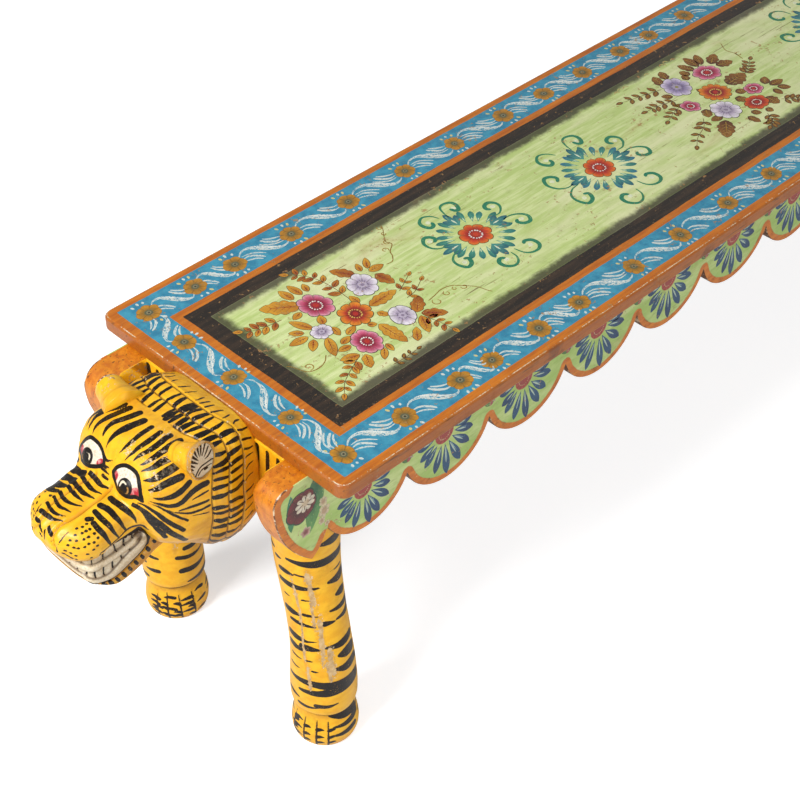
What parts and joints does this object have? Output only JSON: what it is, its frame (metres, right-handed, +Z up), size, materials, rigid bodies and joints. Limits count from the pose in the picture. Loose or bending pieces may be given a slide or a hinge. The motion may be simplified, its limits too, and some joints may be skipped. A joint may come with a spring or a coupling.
{
  "type": "painted bench",
  "caption": "Low painted bench with a long seat board, scalloped aprons, splayed carved legs ending in paws, and a carved tiger head at each end.",
  "frame": {"origin": "on the floor under the middle of the seat board", "axes": "+X along the bench, the pictured head at -X; +Y across it, away from the pictured apron; +Z up"},
  "size_m": [2.116, 0.382, 0.4586],
  "materials": {
    "board_paint": "old painted wood, worn at the arrises, under dull varnish",
    "apron_paint": "old painted wood, flaked in places",
    "bracket_paint": "old painted wood, chipped at the arrises",
    "tiger_paint": "old painted carved wood, rubbed and chipped",
    "bare_wood": "unpainted sawn wood",
    "screw_steel": "dull steel"
  },
  "bodies": {
    "root": {"top_board": "board_paint", "apron_front": "apron_paint", "apron_back": "apron_paint", "bracket_front_left": "bracket_paint", "bracket_front_right": "bracket_paint", "bracket_back_left": "bracket_paint", "bracket_back_right": "bracket_paint", "end_rail_left": "tiger_paint", "end_rail_right": "tiger_paint", "leg_front_left": "tiger_paint", "leg_front_right": "tiger_paint", "leg_back_left": "tiger_paint", "leg_back_right": "tiger_paint", "tiger_head_left": "tiger_paint", "tiger_head_right": "tiger_paint", "ear_front_left": "tiger_paint", "ear_front_right": "tiger_paint", "ear_back_left": "tiger_paint", "ear_back_right": "tiger_paint", "batten_left": "bare_wood", "batten_middle": "bare_wood", "batten_right": "bare_wood", "screws_left": "screw_steel", "screws_middle": "screw_steel", "screws_right": "screw_steel"}
  },
  "joints": []
}
